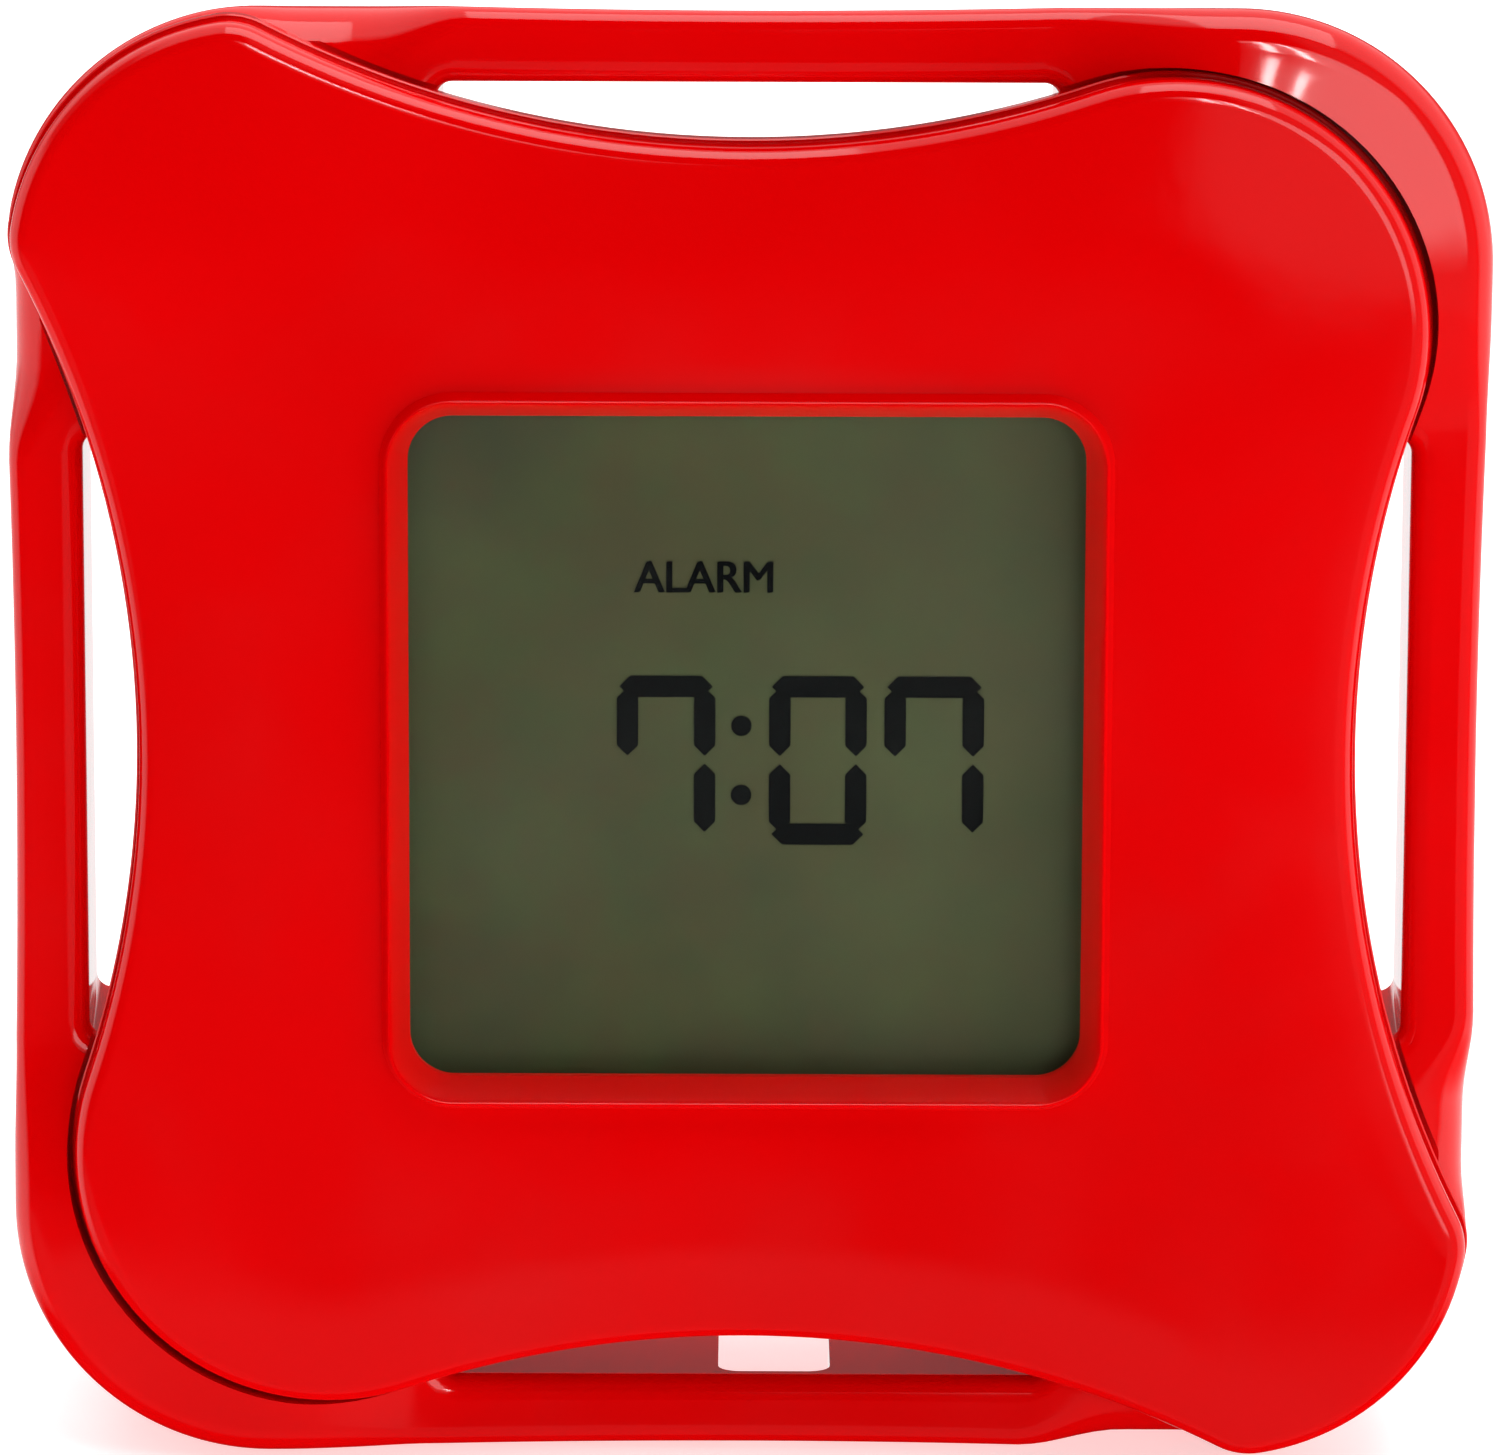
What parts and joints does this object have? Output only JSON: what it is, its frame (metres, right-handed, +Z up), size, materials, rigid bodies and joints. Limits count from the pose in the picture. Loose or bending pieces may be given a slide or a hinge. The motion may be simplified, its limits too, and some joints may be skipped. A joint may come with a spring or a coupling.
{
  "type": "turn-over alarm clock",
  "caption": "Square battery alarm clock with a horned domed front cover, a square display and a slotted ring frame; it stands on any of its sides.",
  "frame": {"origin": "centre of the footprint of the bounding box, on the surface the clock stands on", "axes": "+Z up, -Y towards the viewer of the display, +X to the viewer's right"},
  "size_m": [0.096, 0.0422, 0.0951],
  "materials": {
    "red_gloss": "polished",
    "window": "clear",
    "display_panel": "polarised",
    "reflector_foil": "satin",
    "pale_resin": "moulded",
    "connector_rubber": "moulded",
    "circuit_board": "lacquered",
    "black_resin": "moulded",
    "steel": "plated",
    "nickel": "plated",
    "brass_disc": "rolled",
    "ceramic": "fired",
    "cell_wrap": "printed film",
    "button_red": "moulded"
  },
  "bodies": {
    "case": {"front_cover": "red_gloss", "ring_frame": "red_gloss", "back_housing": "red_gloss", "display_lens": "window", "lcd_panel": "display_panel", "lcd_reflector": "reflector_foil", "lcd_carrier": "pale_resin", "zebra_strip_upper": "connector_rubber", "zebra_strip_lower": "connector_rubber", "main_board": "circuit_board", "controller_blob": "black_resin", "crystal_can": "steel", "board_screw_1": "steel", "board_screw_2": "steel", "board_screw_3": "steel", "board_screw_4": "steel", "tilt_switch_left_can": "steel", "tilt_switch_left_base": "black_resin", "tilt_switch_right_can": "steel", "tilt_switch_right_base": "black_resin", "buzzer_disc": "brass_disc", "buzzer_ceramic": "ceramic", "buzzer_lead_ceramic": "cell_wrap", "buzzer_lead_disc": "black_resin", "set_switch": "black_resin", "mode_switch": "black_resin", "up_switch": "black_resin", "down_switch": "black_resin", "alarm_switch": "steel", "battery_cell_upper": "cell_wrap", "battery_cell_lower": "cell_wrap", "battery_spring_upper": "nickel", "battery_spring_lower": "nickel", "bridge_contact": "nickel", "positive_contact": "nickel", "negative_contact": "nickel", "case_screw_1": "steel", "case_screw_2": "steel", "case_screw_3": "steel", "case_screw_4": "steel"},
    "set_key": {"set_button": "button_red", "set_plunger": "black_resin"},
    "mode_key": {"mode_button": "button_red", "mode_plunger": "black_resin"},
    "up_key": {"up_button": "button_red", "up_plunger": "black_resin"},
    "down_key": {"down_button": "button_red", "down_plunger": "black_resin"},
    "alarm_slider": {"alarm_knob": "black_resin"},
    "door": {"battery_door": "red_gloss"},
    "left_ball": {"tilt_switch_left_ball": "nickel"},
    "right_ball": {"tilt_switch_right_ball": "nickel"}
  },
  "joints": [
    {"name": "set_press", "type": "slide", "parent": "case", "child": "set_key", "axis": [0, -0.9903, 0.1392], "range_m": [0, 0.0005], "stiffness_N_per_m": 800},
    {"name": "mode_press", "type": "slide", "parent": "case", "child": "mode_key", "axis": [0, -0.9903, 0.1392], "range_m": [0, 0.0005], "stiffness_N_per_m": 800},
    {"name": "up_press", "type": "slide", "parent": "case", "child": "up_key", "axis": [0, -0.9903, 0.1392], "range_m": [0, 0.0005], "stiffness_N_per_m": 800},
    {"name": "down_press", "type": "slide", "parent": "case", "child": "down_key", "axis": [0, -0.9903, 0.1392], "range_m": [0, 0.0005], "stiffness_N_per_m": 800},
    {"name": "alarm_slide", "type": "slide", "parent": "case", "child": "alarm_slider", "axis": [1, 0, 0], "range_m": [0, 0.003]},
    {"name": "door_lift", "type": "slide", "parent": "case", "child": "door", "axis": [0, 0.9903, -0.1392], "range_m": [0, 0.02]},
    {"name": "left_ball_roll", "type": "slide", "parent": "case", "child": "left_ball", "axis": [-0.7071, 0.0984, 0.7002], "range_m": [0, 0.0035]},
    {"name": "right_ball_roll", "type": "slide", "parent": "case", "child": "right_ball", "axis": [0.7071, 0.0984, 0.7002], "range_m": [0, 0.0035]}
  ]
}
